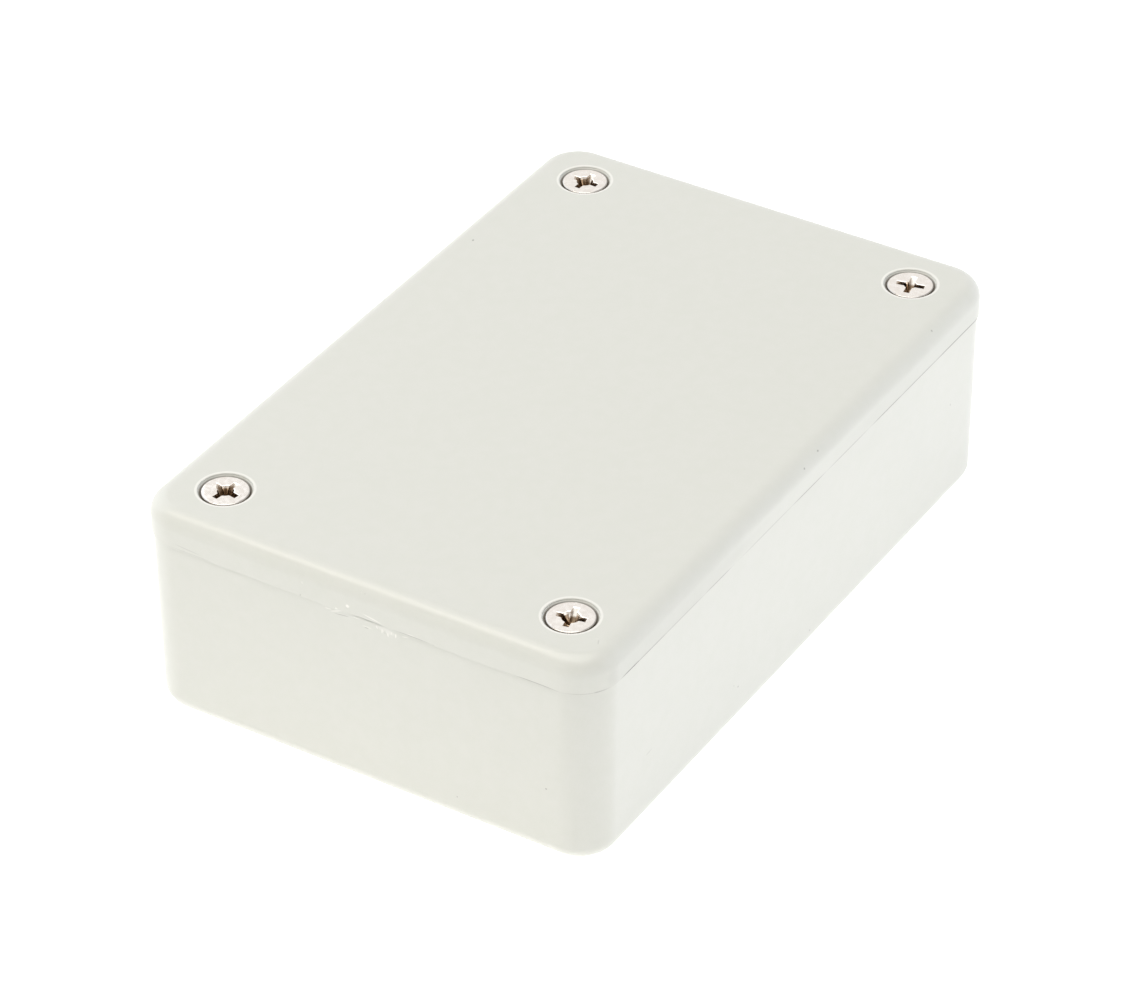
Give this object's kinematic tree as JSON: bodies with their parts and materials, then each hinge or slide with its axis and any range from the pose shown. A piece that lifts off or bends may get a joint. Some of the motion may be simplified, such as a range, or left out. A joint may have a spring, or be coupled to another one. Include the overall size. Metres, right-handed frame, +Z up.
{
  "type": "plastic project box",
  "caption": "Small rectangular moulded box with rounded edges: a tub and a lap-jointed lid held by countersunk corner screws in brass inserts, with board slots and pillars inside.",
  "frame": {"origin": "on the surface the box stands on, under the middle of the box", "axes": "+X along the box's length to its right end, +Y across its width to its rear side, +Z up through the lid"},
  "size_m": [0.085, 0.056, 0.026],
  "materials": {
    "housing": "fine satin texture, pale warm grey",
    "screws": "bright plated steel",
    "inserts": "turned and knurled brass"
  },
  "bodies": {
    "base": {"base": "housing", "insert_front_left": "inserts", "insert_front_right": "inserts", "insert_rear_left": "inserts", "insert_rear_right": "inserts"},
    "lid": {"lid": "housing"},
    "screw_front_left": {"screw_front_left": "screws"},
    "screw_front_right": {"screw_front_right": "screws"},
    "screw_rear_left": {"screw_rear_left": "screws"},
    "screw_rear_right": {"screw_rear_right": "screws"}
  },
  "joints": [
    {"name": "lid_lift", "type": "slide", "parent": "base", "child": "lid", "axis": [0, 0, 1], "range_m": [0, 0.06]},
    {"name": "screw_front_left_out", "type": "slide", "parent": "lid", "child": "screw_front_left", "axis": [0, 0, 1], "range_m": [0, 0.016]},
    {"name": "screw_front_right_out", "type": "slide", "parent": "lid", "child": "screw_front_right", "axis": [0, 0, 1], "range_m": [0, 0.016]},
    {"name": "screw_rear_left_out", "type": "slide", "parent": "lid", "child": "screw_rear_left", "axis": [0, 0, 1], "range_m": [0, 0.016]},
    {"name": "screw_rear_right_out", "type": "slide", "parent": "lid", "child": "screw_rear_right", "axis": [0, 0, 1], "range_m": [0, 0.016]}
  ]
}
